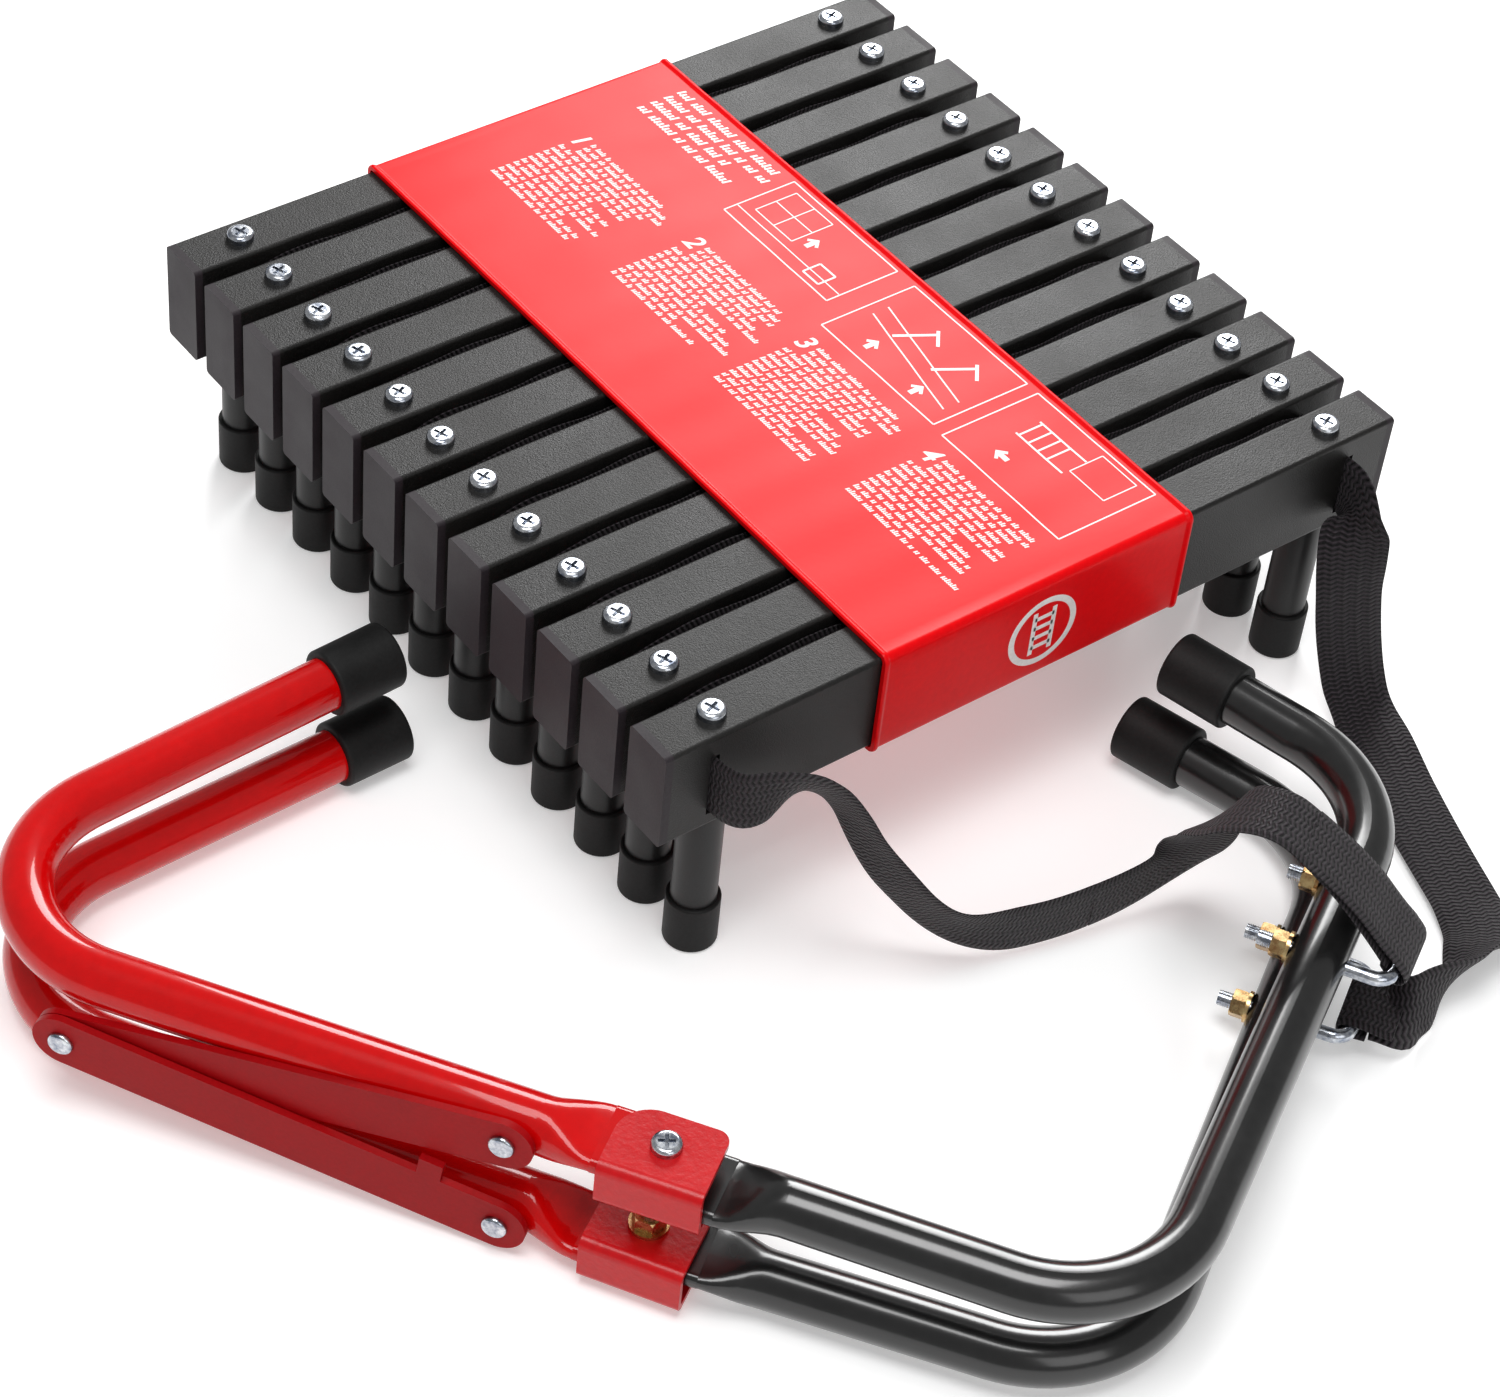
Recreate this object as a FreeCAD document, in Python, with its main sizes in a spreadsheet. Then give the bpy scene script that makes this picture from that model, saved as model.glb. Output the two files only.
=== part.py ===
"""Escape ladder in its folded state: twelve rungs in a sleeve, two sill hooks beside it.

Millimetres. +Z is up, X runs along the rungs and Y across them. The origin is on the floor,
under the middle of the ladder and its hooks. Each sub-part is one object whose Label names
its STEP file.
"""
import FreeCAD, Part
import Sketcher
import math
import os
import re
from FreeCAD import Placement, Rotation, Vector

doc = FreeCAD.newDocument("escape_ladder")
sheet = doc.addObject("Spreadsheet::Sheet", "Sizes")
subparts = []

SIZES = {
    # the row of rungs
    "rung_count": 12, "rung_pitch": 26, "rung_length": 317.5, "rung_width": 19.5,
    "rung_height": 40, "rung_wall": 1.6, "rung_top": 104, "rung_edge": 1.5, "ladder_x": 95.8,
    "first_rung_y": -33.3, "plug_flange": 3.2, "plug_depth": 12,
    # stand-off legs, their caps and their screws
    "leg_x": 134, "leg_radius": 8, "leg_wall": 1.5, "leg_plug": 20, "leg_cap_radius": 9.5,
    "leg_cap_height": 20, "leg_cap_floor": 3, "screw_radius": 2.5, "screw_head_radius": 5,
    "screw_head_height": 3, "screw_reach": 56,
    # webbing
    "web_width": 25, "web_thick": 1.8, "slot_x": 138.75, "slot_wide": 3.5, "slot_tall": 26,
    "slot_middle": 82.5, "fold_x": 4, "fold_gap": 0.6, "tail_length": 34, "strap_radius": 3,
    # sleeve
    "sleeve_left": -72.5, "sleeve_right": 61.5, "sleeve_thick": 1.2, "sleeve_gap": 0.6,
    "sleeve_corner": 3,
    # hook tubes
    "tube_radius": 9.5, "tube_wall": 1.2, "red_reach": 265.8, "red_corner": 59.4,
    "red_leg": 194.7, "red_bend": 45, "black_reach": 154, "black_corner": 93.6,
    "black_run": 249.4, "black_bend": 46.5, "toe_corner": 106, "toe_run": 87.1, "toe_bend": 50.3,
    "tongue_thick": 6, "tongue_half": 12.8, "tongue_flat": 20, "tongue_round": 40,
    "tongue_gap": 0.15, "bore_start": 0.4, "tip_radius": 12, "tip_length": 26, "tip_wall": 3,
    "low_hook_z": 12, "hook_rise": 36,
    # bracket where a hook folds
    "plate": 2.2, "bracket_half": 17, "bracket_depth": 28, "bracket_height": 18,
    "bracket_wall": 15.5, "bracket_corner": 12, "bracket_small_corner": 4.5, "bracket_fold": 3.6,
    "pivot_radius": 3,
    # crosspiece
    "bar_length": 148, "bar_width": 20, "bar_thick": 2.5, "bar_place": 48, "inner_bar_face": 9.8,
    "outer_bar_face": 12.6, "rivet_radius": 2.5, "rivet_head": 4.3, "rivet_inner_face": 6.8,
    "tab_place": 24,
    # U-bolts
    "bolt_radius": 2.5, "bolt_spacing": 33, "bolt_place": 181, "bow_reach": 24, "bow_bend": 6,
    "thread_end": 20.5, "running_gap": 0.05,
    # stitched eyes of the two straps, each round the bow of a U-bolt
    "eye_width": 24.5, "eye_gap": 0.6, "eye_slack": 3.3, "upper_eye_length": 52, "upper_eye_rise": 40,
    "lower_eye_length": 12, "lower_eye_rise": 175,
}


def fill_sheet():
    for row, (name, value) in enumerate(SIZES.items(), start=1):
        sheet.set(f"A{row}", name)
        sheet.set(f"B{row}", str(value))
        sheet.setAlias(f"B{row}", name)
    doc.recompute()


def size(name):
    return float(getattr(sheet, name))


def bound(kind, name, formulas=None, **links):
    """Adds an object, binds its sizes to formulas of the sheet's values and sets its links."""
    thing = doc.addObject(kind, name)
    for link, target in links.items():
        setattr(thing, link, target)
    for prop, formula in (formulas or {}).items():
        cells = re.sub(r"[a-z][a-z_]+", lambda m: sheet_name(m.group()), formula)
        thing.setExpression(prop, cells)
    doc.recompute()
    return thing


def sheet_name(word):
    return "Sizes." + word if word in SIZES else word


def box(name, x, y, z, length, width, height):
    return bound("Part::Box", name, {
        ".Placement.Base.x": x, ".Placement.Base.y": y, ".Placement.Base.z": z,
        "Length": length, "Width": width, "Height": height})


def post(name, x, y, z, radius, height):
    return bound("Part::Cylinder", name, {
        ".Placement.Base.x": x, ".Placement.Base.y": y, ".Placement.Base.z": z,
        "Radius": radius, "Height": height})


def cut(name, base, *tools):
    tool = tools[0]
    if len(tools) > 1:
        tool = bound("Part::MultiFuse", name + "_tools", Shapes=list(tools))
    return bound("Part::Cut", name, Base=base, Tool=tool)


def fillet(name, base, wanted, radius):
    """Rounds the edges of base that wanted(edge) picks."""
    rounded = doc.addObject("Part::Fillet", name)
    rounded.Base = base
    numbers = [i for i, edge in enumerate(base.Shape.Edges, start=1) if wanted(edge)]
    rounded.Edges = [(i, radius, radius) for i in numbers]
    doc.recompute()
    return rounded


def runs_along(edge, axis):
    return abs(edge.tangentAt(edge.FirstParameter).dot(axis)) > 0.999


def keep(thing, label):
    """Marks an object as a finished sub-part of that name."""
    thing.Label = label
    subparts.append(thing)
    return thing


def feature(label, shape, placement=None):
    thing = doc.addObject("Part::Feature", label)
    thing.Shape = shape
    if placement is not None:
        thing.Placement = placement
    return keep(thing, label)


# ---- shapes shared by the sub-parts

X_AXIS = Vector(1, 0, 0)
Y_AXIS = Vector(0, 1, 0)
Z_AXIS = Vector(0, 0, 1)
CENTRE = Vector(0, 0, 0)


def rounded_path(points, radii):
    """Straight runs joined by tangent arcs, with one radius for each inner point."""
    edges = []
    start = points[0]
    for before, corner, after, radius in zip(points, points[1:], points[2:], radii):
        back = (before - corner).normalize()
        on = (after - corner).normalize()
        half = back.getAngle(on) / 2
        first = corner + back * (radius / math.tan(half))
        last = corner + on * (radius / math.tan(half))
        middle = corner + (back + on).normalize() * (radius / math.sin(half) - radius)
        edges.append(Part.LineSegment(start, first).toShape())
        edges.append(Part.Arc(first, middle, last).toShape())
        start = last
    edges.append(Part.LineSegment(start, points[-1]).toShape())
    return Part.Wire(edges)


def pipe(points, radii, radius):
    path = rounded_path(points, radii)
    ring = Part.Circle(points[0], points[1] - points[0], radius).toShape()
    return path.makePipeShell([Part.Wire(ring)], True, False)


def disc(radius, height, at=CENTRE, axis=Z_AXIS):
    return Part.makeCylinder(radius, height, at, axis)


def hexagon(across, height, hole, at, axis):
    """A nut: a six-sided prism with its corners turned off and a bore."""
    corner = across / math.sqrt(3)
    corners = [Vector(corner * math.cos(a), corner * math.sin(a), 0)
               for a in [math.radians(60 * i) for i in range(7)]]
    prism = Part.Face(Part.makePolygon(corners)).extrude(Vector(0, 0, height))
    round_blank = Part.makeCone(corner * 0.93, corner * 1.12, height / 2)
    round_blank = round_blank.fuse(Part.makeCone(corner * 1.12, corner * 0.93, height / 2,
                                                 Vector(0, 0, height / 2)))
    nut = prism.common(round_blank).cut(disc(hole, height))
    nut.Placement = Placement(at, Rotation(Z_AXIS, axis))
    return nut


def pan_head(radius, height, at, axis):
    """A domed head with a cross recess, whose flat side is at the given point."""
    head = disc(radius, height)
    head = head.makeFillet(height * 0.55, [e for e in head.Edges if top_ring(e, height)])
    for turn in (0, 90):
        slot = Part.makeBox(radius * 1.1, radius * 0.24, height * 0.6,
                            Vector(-radius * 0.55, -radius * 0.12, height * 0.45))
        slot.rotate(CENTRE, Z_AXIS, turn + 20)
        head = head.cut(slot)
    head.Placement = Placement(at, Rotation(Z_AXIS, axis))
    return head


def top_ring(edge, height):
    low, high = edge.BoundBox.ZMin, edge.BoundBox.ZMax
    return edge.Closed and low > height - 0.01 and high > height - 0.01


# ---- the rungs

def rung_y(index):
    return size("first_rung_y") + index * size("rung_pitch")


def make_rung(index):
    """A rectangular tube with two webbing slots and two screw holes."""
    name = f"rung_tube_{index + 1:02d}"
    front = f"first_rung_y + {index} * rung_pitch - rung_width / 2"
    bottom = "rung_top - rung_height"
    left = "ladder_x - rung_length / 2 + plug_flange"
    blank = box(name + "_blank", left, front, bottom, "rung_length - 2 * plug_flange",
                "rung_width", "rung_height")
    blank = fillet(name + "_edges", blank, lambda e: runs_along(e, X_AXIS), size("rung_edge"))
    tools = [box(name + "_bore", left + " - 1", front + " + rung_wall", bottom + " + rung_wall",
                 "rung_length + 2", "rung_width - 2 * rung_wall", "rung_height - 2 * rung_wall")]
    for side, sign in (("l", "-"), ("r", "+")):
        tools.append(box(name + "_slot_" + side, f"ladder_x {sign} slot_x - slot_wide / 2",
                         front + " - 1", "slot_middle - slot_tall / 2", "slot_wide",
                         "rung_width + 2", "slot_tall"))
        tools.append(post(name + "_hole_" + side, f"ladder_x {sign} leg_x",
                          front + " + rung_width / 2", bottom + " - 1",
                          "screw_radius + running_gap", "rung_height + 2"))
    keep(cut(name, blank, *tools), name)


def row(label, piece, x):
    """One piece under each rung, as separate solids of one sub-part."""
    copies = []
    for index in range(int(size("rung_count"))):
        copy = piece.copy()
        copy.translate(Vector(size("ladder_x") + x, rung_y(index), 0))
        copies.append(copy)
    feature(label, Part.Compound(copies))


def end_plug(side):
    """A moulded plug: a flange over the rung's end and a hollow tongue inside it."""
    wall = size("rung_wall")
    wide, tall = size("rung_width"), size("rung_height")
    low = size("rung_top") - tall
    flange = Part.makeBox(size("plug_flange"), wide, tall, Vector(0, -wide / 2, low))
    flange = flange.makeFillet(size("rung_edge"),
                               [e for e in flange.Edges if runs_along(e, X_AXIS)])
    slack = wall + 0.1
    tongue = Part.makeBox(size("plug_depth"), wide - 2 * slack, tall - 2 * slack,
                          Vector(size("plug_flange"), -wide / 2 + slack, low + slack))
    hollow = Part.makeBox(size("plug_depth"), wide - 2 * slack - 4, tall - 2 * slack - 4,
                          Vector(size("plug_flange"), -wide / 2 + slack + 2, low + slack + 2))
    plug = flange.fuse(tongue.cut(hollow))
    plug.translate(Vector(-size("rung_length") / 2, 0, 0))
    if side > 0:
        plug.rotate(CENTRE, Z_AXIS, 180)
    return plug


def leg():
    """A stand-off tube whose solid upper end takes the rung's screw."""
    top = size("rung_top") - size("rung_height")
    low = size("leg_cap_floor")
    tube = disc(size("leg_radius"), top - low, Vector(0, 0, low))
    bore = disc(size("leg_radius") - size("leg_wall"), top - low - size("leg_plug"),
                Vector(0, 0, low))
    thread = disc(size("screw_radius") + size("running_gap"), size("leg_plug"),
                  Vector(0, 0, top - size("leg_plug")))
    return tube.cut(bore).cut(thread)


def leg_cap():
    cap = disc(size("leg_cap_radius"), size("leg_cap_height"))
    cap = cap.makeFillet(0.8, [e for e in cap.Edges if e.Closed])
    bore = disc(size("leg_radius") + size("running_gap"), size("leg_cap_height"),
                Vector(0, 0, size("leg_cap_floor")))
    return cap.cut(bore)


def rung_screw():
    top = size("rung_top")
    head = pan_head(size("screw_head_radius"), size("screw_head_height"), Vector(0, 0, top), Z_AXIS)
    shank = disc(size("screw_radius"), size("screw_reach"), Vector(0, 0, top - size("screw_reach")))
    return head.fuse(shank)


def make_rows():
    for side, word in ((-1, "left"), (1, "right")):
        row("end_plugs_" + word, end_plug(side), 0)
        row("standoff_legs_" + word, leg(), side * size("leg_x"))
        row("leg_caps_" + word, leg_cap(), side * size("leg_x"))
        row("rung_screws_" + word, rung_screw(), side * size("leg_x"))


def make_webbing(word, side):
    """One strap threaded through every rung, with a hairpin of slack in each gap."""
    thick, tall = size("web_thick"), size("web_width")
    low = size("slot_middle") - tall / 2
    outer, inner = size("slot_x") + thick / 2, size("fold_x")
    half = size("rung_width") / 2
    pieces = []

    def strip(x0, x1, y0, y1):
        pieces.append(Part.makeBox(x1 - x0, y1 - y0, tall, Vector(x0, y0, low)))

    for index in range(int(size("rung_count"))):
        middle = rung_y(index)
        first, last = index == 0, index == size("rung_count") - 1
        reach = half if first else half + size("fold_gap") + thick
        behind = half + size("fold_gap")
        strip(outer - thick, outer, middle - reach, middle + behind + thick)
        if last:
            strip(outer - size("tail_length"), outer, middle + behind, middle + behind + thick)
            continue
        ahead = middle + size("rung_pitch") - behind
        strip(inner, outer, middle + behind, middle + behind + thick)
        strip(inner, outer, ahead - thick, ahead)
        strip(inner, inner + thick, middle + behind, ahead)
    loop = pieces[0].multiFuse(pieces[1:]).removeSplitter()
    if side < 0:
        loop = loop.mirror(CENTRE, X_AXIS)
    loop.translate(Vector(size("ladder_x"), 0, 0))
    feature("webbing_" + word, loop)


def make_sleeve():
    """A printed band that holds the folded rungs together."""
    length = "sleeve_right - sleeve_left"
    span = "(rung_count - 1) * rung_pitch + rung_width"
    front = "first_rung_y - rung_width / 2"
    low = "rung_top - rung_height"
    around = "2 * (sleeve_gap + sleeve_thick)"
    blank = box("sleeve_blank", "ladder_x + sleeve_left", front + " - sleeve_gap - sleeve_thick",
                low + " - sleeve_gap - sleeve_thick", length, f"{span} + {around}",
                f"rung_height + {around}")
    blank = fillet("sleeve_edges", blank, lambda e: runs_along(e, X_AXIS), size("sleeve_corner"))
    inside = box("sleeve_inside", "ladder_x + sleeve_left - 1", front + " - sleeve_gap",
                 low + " - sleeve_gap", length + " + 2", span + " + 2 * sleeve_gap",
                 "rung_height + 2 * sleeve_gap")
    inside = fillet("sleeve_inside_edges", inside, lambda e: runs_along(e, X_AXIS),
                    size("sleeve_corner") - size("sleeve_thick"))
    keep(cut("sleeve", blank, inside), "sleeve")


# ---- the hooks, each made flat about its pivot: black arm along +X, red arm along -X

HOOKS = {
    # pivot counted from the middle of the first rung, direction of each arm in degrees, and
    # the side its screw head is on
    "upper": {"pivot": (-224.3, -105.8), "black": -56.56, "red": -56.40, "up": 1},
    "lower": {"pivot": (-227.6, -105.1), "black": -54.65, "red": -58.04, "up": -1},
}


def beside(x, y, z):
    """A place given from the middle of the first rung and the floor."""
    return Vector(size("ladder_x") + x, size("first_rung_y") + y, z)


def hook_z(name):
    return size("low_hook_z") + (size("hook_rise") if name == "upper" else 0)


def hook_place(name, arm):
    x, y = HOOKS[name]["pivot"]
    return Placement(beside(x, y, hook_z(name)), Rotation(Z_AXIS, HOOKS[name][arm]))


def turned(direction, interior):
    """The next run's direction after an inward bend, in degrees."""
    return direction + 180 - interior


def along(start, direction, distance):
    angle = math.radians(direction)
    return start + Vector(math.cos(angle), math.sin(angle), 0) * distance


def black_points():
    heel = Vector(size("black_reach"), 0, 0)
    rise = turned(0, size("black_corner"))
    knee = along(heel, rise, size("black_run"))
    toe = along(knee, turned(rise, size("toe_corner")), size("toe_run"))
    return [Vector(size("tongue_round"), 0, 0), heel, knee, toe]


def red_points():
    corner = Vector(-size("red_reach"), 0, 0)
    tip = along(corner, size("red_corner"), size("red_leg"))
    return [Vector(-size("tongue_round"), 0, 0), corner, tip]


def oval(x, half_wide, half_thick, power, middle):
    """A closed outline across the tube: a circle at power 2, a flat strip at power 4."""
    points = []
    steps = 32
    for step in range(steps):
        angle = 2 * math.pi * step / steps
        cos, sin = math.cos(angle), math.sin(angle)
        y = half_wide * math.copysign(abs(cos) ** (2 / power), cos)
        z = half_thick * math.copysign(abs(sin) ** (2 / power), sin)
        points.append(Vector(x, y, middle + z))
    curve = Part.BSplineCurve()
    curve.interpolate(Points=points, PeriodicFlag=True)
    return Part.Wire(curve.toShape())


def tongue(sign, side):
    """The flattened end of a tube: sign is its direction in X, side its layer in Z."""
    half, thick = size("tongue_half"), size("tongue_thick") / 2
    middle = side * (thick + size("tongue_gap"))
    flat, round_at = size("tongue_flat"), size("tongue_round")
    inset = 0.05
    slim_half, slim_thick, slim_round = half - inset, thick - inset, size("tube_radius") - inset
    outlines = [oval(sign * (flat - 2), slim_half, slim_thick, 4, middle)]
    stations = 6
    for station in range(stations + 1):
        share = station / stations
        ease = share * share * (3 - 2 * share)
        outlines.append(oval(sign * (flat + share * (round_at - flat)),
                             slim_half + ease * (slim_round - slim_half),
                             slim_thick + ease * (slim_round - slim_thick), 4 - 2 * ease,
                             middle * (1 - ease)))
    outlines.append(oval(sign * (round_at + 2), slim_round, slim_round, 2, 0))
    neck = Part.makeLoft(outlines, True, False)
    strip = Part.makeBox(flat + half + 4, 2 * half, 2 * thick, Vector(-half - 4, -half, -thick))
    strip = strip.makeFillet(thick * 0.8, [e for e in strip.Edges if runs_along(e, X_AXIS)])
    spare = Part.makeBox(half + 8, 60, 40, Vector(-half - 8, -30, -20))
    strip = strip.cut(spare.cut(disc(half + 0.2, 60, Vector(0, 0, -30))))
    if sign < 0:
        strip = strip.mirror(CENTRE, X_AXIS)
    strip.translate(Vector(0, 0, middle))
    return strip.fuse(neck)


def arm(points, bends, sign, side):
    """A bent tube that is open inside, with its flattened end and its pivot hole."""
    radius = size("tube_radius")
    body = pipe(points, bends, radius).fuse(tongue(sign, side))
    start = points[0] + Vector(sign * size("bore_start"), 0, 0)
    bore = pipe([start] + points[1:], bends, radius - size("tube_wall"))
    pivot_hole = disc(size("pivot_radius") + size("running_gap"), 40, Vector(0, 0, -20))
    return body.cut(bore).cut(pivot_hole)


def bolt_frame():
    """Where the U-bolt's middle crosses the black tube: X along the tube, -Y outwards."""
    direction = turned(0, size("black_corner"))
    middle = along(black_points()[1], direction, size("bolt_place"))
    return Placement(middle, Rotation(Z_AXIS, direction))


def leg_holes():
    holes = [disc(size("bolt_radius") + 0.2, 40, Vector(x, -20, 0), Y_AXIS)
             for x in (-size("bolt_spacing") / 2, size("bolt_spacing") / 2)]
    holes = Part.Compound(holes)
    holes.Placement = bolt_frame()
    return holes


def rubber_tip(end, before):
    """A cap that slips over the tube's end."""
    axis = (end - before).normalize()
    length, wall = size("tip_length"), size("tip_wall")
    cap = disc(size("tip_radius"), length)
    cap = cap.makeFillet(1.2, [e for e in cap.Edges if e.Closed])
    cap = cap.cut(disc(size("tube_radius") + size("running_gap"), length - wall))
    cap.Placement = Placement(end - axis * (length - wall), Rotation(Z_AXIS, axis))
    return cap


def place_solid(shape, mirrored, placement):
    """Moves a shape from the hook's own frame to its place, mirrored in height if asked."""
    solid = shape.mirror(CENTRE, Z_AXIS) if mirrored else shape.copy()
    return solid.transformed(placement.toMatrix())


def bracket():
    """A folded channel, closed on the outer side, that holds both flattened ends."""
    half, depth, tall = size("bracket_half"), size("bracket_depth"), size("bracket_height")
    wall, plate = size("bracket_wall"), size("plate")
    blank = Part.makeBox(2 * half, depth, tall, Vector(-half, -wall, -tall / 2))
    inner = depth - wall
    upright = [e for e in blank.Edges if runs_along(e, Z_AXIS) and e.CenterOfMass.y > inner - 1]
    big = [e for e in upright if e.CenterOfMass.x < 0]
    blank = blank.makeFillet(size("bracket_corner"), big)
    small = [e for e in blank.Edges if runs_along(e, Z_AXIS) and e.CenterOfMass.x > half - 1
             and e.CenterOfMass.y > 0]
    blank = blank.makeFillet(size("bracket_small_corner"), small)
    folds = [e for e in blank.Edges if runs_along(e, X_AXIS) and e.CenterOfMass.y < -wall + 1]
    blank = blank.makeFillet(size("bracket_fold"), folds)
    room = Part.makeBox(2 * half + 2, depth, tall - 2 * plate,
                        Vector(-half - 1, -wall + plate, -tall / 2 + plate))
    folds = [e for e in room.Edges if runs_along(e, X_AXIS) and e.CenterOfMass.y < -wall + plate + 1]
    room = room.makeFillet(size("bracket_fold") - plate, folds)
    hole = disc(size("pivot_radius") + size("running_gap"), 40, Vector(0, 0, -20))
    return blank.cut(room).cut(hole)


def pivot_screw():
    tall = size("bracket_height")
    head = pan_head(size("screw_head_radius"), size("screw_head_height"),
                    Vector(0, 0, tall / 2), Z_AXIS)
    return head.fuse(disc(size("pivot_radius"), tall + 8, Vector(0, 0, -tall / 2 - 8)))


def pivot_nut():
    hole = size("pivot_radius") + size("running_gap")
    face = Vector(0, 0, -size("bracket_height") / 2)
    nut = hexagon(10, 6.5, hole, face, -Z_AXIS)
    flange = disc(6.5, 1.3, face, -Z_AXIS).cut(disc(hole, 1.3, face, -Z_AXIS))
    return nut.fuse(flange)


def u_bolt():
    half, reach, end = size("bolt_spacing") / 2, size("bow_reach"), size("thread_end")
    points = [Vector(-half, end, 0), Vector(-half, -reach, 0), Vector(half, -reach, 0),
              Vector(half, end, 0)]
    bolt = pipe(points, [size("bow_bend")] * 2, size("bolt_radius"))
    return bolt.transformed(bolt_frame().toMatrix())


def on_both_legs(make):
    half = size("bolt_spacing") / 2
    pair = Part.Compound([make(Vector(x, size("tube_radius"), 0)) for x in (-half, half)])
    return pair.transformed(bolt_frame().toMatrix())


def bolt_washer(at):
    hole = size("bolt_radius") + size("running_gap")
    return disc(5.5, 1.2, at, Y_AXIS).cut(disc(hole, 1.2, at, Y_AXIS))


def bolt_nut(at):
    return hexagon(8.5, 5, size("bolt_radius") + size("running_gap"), at + Vector(0, 1.2, 0), Y_AXIS)


def make_hook(name):
    """All pieces of one hook; the lower one is the upper one turned over."""
    mirrored = HOOKS[name]["up"] < 0
    black, red = black_points(), red_points()
    red_arm = arm(red, [size("red_bend")], -1, 1)
    black_arm = arm(black, [size("black_bend"), size("toe_bend")], 1, -1).cut(leg_holes())
    on_red = {
        "red_tube": red_arm, "red_tip": rubber_tip(red[-1], red[-2]), "bracket": bracket(),
        "pivot_screw": pivot_screw(), "pivot_nut": pivot_nut(),
    }
    on_black = {
        "black_tube": black_arm, "black_tip": rubber_tip(black[-1], black[-2]), "u_bolt": u_bolt(),
        "bolt_washers": on_both_legs(bolt_washer), "bolt_nuts": on_both_legs(bolt_nut),
    }
    for pieces, side in ((on_red, "red"), (on_black, "black")):
        for word, shape in pieces.items():
            solid = place_solid(shape, mirrored, hook_place(name, side))
            if word == "red_tube":
                solid = solid.cut(rivet_hole(name))
            feature(f"{name}_{word}", solid)


# ---- the crosspiece that unfolds between the hooks

def crosspiece_frame():
    """At the upright line through both rivets: X to the apex, Y out from the hooks, Z up."""
    place = hook_place("upper", "red")
    origin = place.multVec(Vector(-size("bar_place"), 0, 0))
    origin.z = 0
    apex = place.Rotation.multVec(-X_AXIS)
    return Placement(origin, Rotation(apex, Z_AXIS.cross(apex), Z_AXIS, "XYZ"))


def fold_angle():
    """How far each bar rises from level, in degrees, when the ladder is folded."""
    return math.degrees(math.asin(size("hook_rise") / 2 / size("bar_length")))


def in_crosspiece(shape):
    return shape.transformed(crosspiece_frame().toMatrix())


def rivet_hole(name):
    hole = disc(size("rivet_radius") + size("running_gap"), 14, Vector(0, 0, hook_z(name)), Y_AXIS)
    return in_crosspiece(hole)


def sketch_on(body, name, role):
    sketch = body.newObject("Sketcher::SketchObject", name)
    plane = next(f for f in body.Origin.OriginFeatures if f.Role == role)
    sketch.AttachmentSupport = [(plane, "")]
    sketch.MapMode = "FlatFace"
    return sketch


def pad_sketch(body, sketch, name):
    pad = body.newObject("PartDesign::Pad", name)
    pad.Profile = sketch
    pad.setExpression("Length", "Sizes.bar_thick")
    doc.recompute()
    return pad


def bind(sketch, kind, places, formula, value):
    index = sketch.addConstraint(Sketcher.Constraint(kind, *places, value))
    sketch.setExpression(f"Constraints[{index}]", formula)


def bar_outline(sketch):
    """A flat bar's outline with round ends, and a rivet hole at each end's centre."""
    length, half, hole = size("bar_length"), size("bar_width") / 2, size("rivet_radius")
    quarter = math.pi / 2
    far, near = Vector(length, 0, 0), CENTRE
    sketch.addGeometry([
        Part.LineSegment(Vector(0, half, 0), Vector(length, half, 0)),
        Part.ArcOfCircle(Part.Circle(far, Z_AXIS, half), -quarter, quarter),
        Part.LineSegment(Vector(length, -half, 0), Vector(0, -half, 0)),
        Part.ArcOfCircle(Part.Circle(near, Z_AXIS, half), quarter, 3 * quarter),
        Part.Circle(near, Z_AXIS, hole), Part.Circle(far, Z_AXIS, hole)])
    for places in ((0, 2, 1, 2), (1, 1, 2, 1), (2, 2, 3, 2), (3, 1, 0, 1)):
        sketch.addConstraint(Sketcher.Constraint("Tangent", *places))
    for places in ((3, 3, -1, 1), (4, 3, -1, 1), (5, 3, 1, 3)):
        sketch.addConstraint(Sketcher.Constraint("Coincident", *places))
    sketch.addConstraint(Sketcher.Constraint("Horizontal", 0))
    bind(sketch, "DistanceX", (3, 3, 1, 3), "Sizes.bar_length", length)
    bind(sketch, "Radius", (3,), "Sizes.bar_width / 2", half)
    for circle in (4, 5):
        bind(sketch, "Radius", (circle,), "Sizes.rivet_radius + Sizes.running_gap", hole)


def tab_outline(sketch):
    """A small stop on the bar's upper edge, not far from the rivet."""
    low, high = size("bar_width") / 2 - 1, size("bar_width") / 2 + 7
    left, right = size("tab_place") - 4, size("tab_place") + 4
    corners = [Vector(left, low, 0), Vector(right, low, 0), Vector(right, high, 0),
               Vector(left, high, 0)]
    sketch.addGeometry([Part.LineSegment(a, b) for a, b in zip(corners, corners[1:] + corners[:1])])
    for line in range(4):
        sketch.addConstraint(Sketcher.Constraint("Coincident", line, 2, (line + 1) % 4, 1))
        sketch.addConstraint(Sketcher.Constraint("Horizontal" if line % 2 == 0 else "Vertical", line))
    bind(sketch, "DistanceX", (-1, 1, 0, 1), "Sizes.tab_place - 4", left)
    bind(sketch, "DistanceX", (0, 1, 0, 2), "8", right - left)
    bind(sketch, "DistanceY", (-1, 1, 0, 1), "Sizes.bar_width / 2 - 1", low)
    bind(sketch, "DistanceY", (1, 1, 1, 2), "8", high - low)


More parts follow.
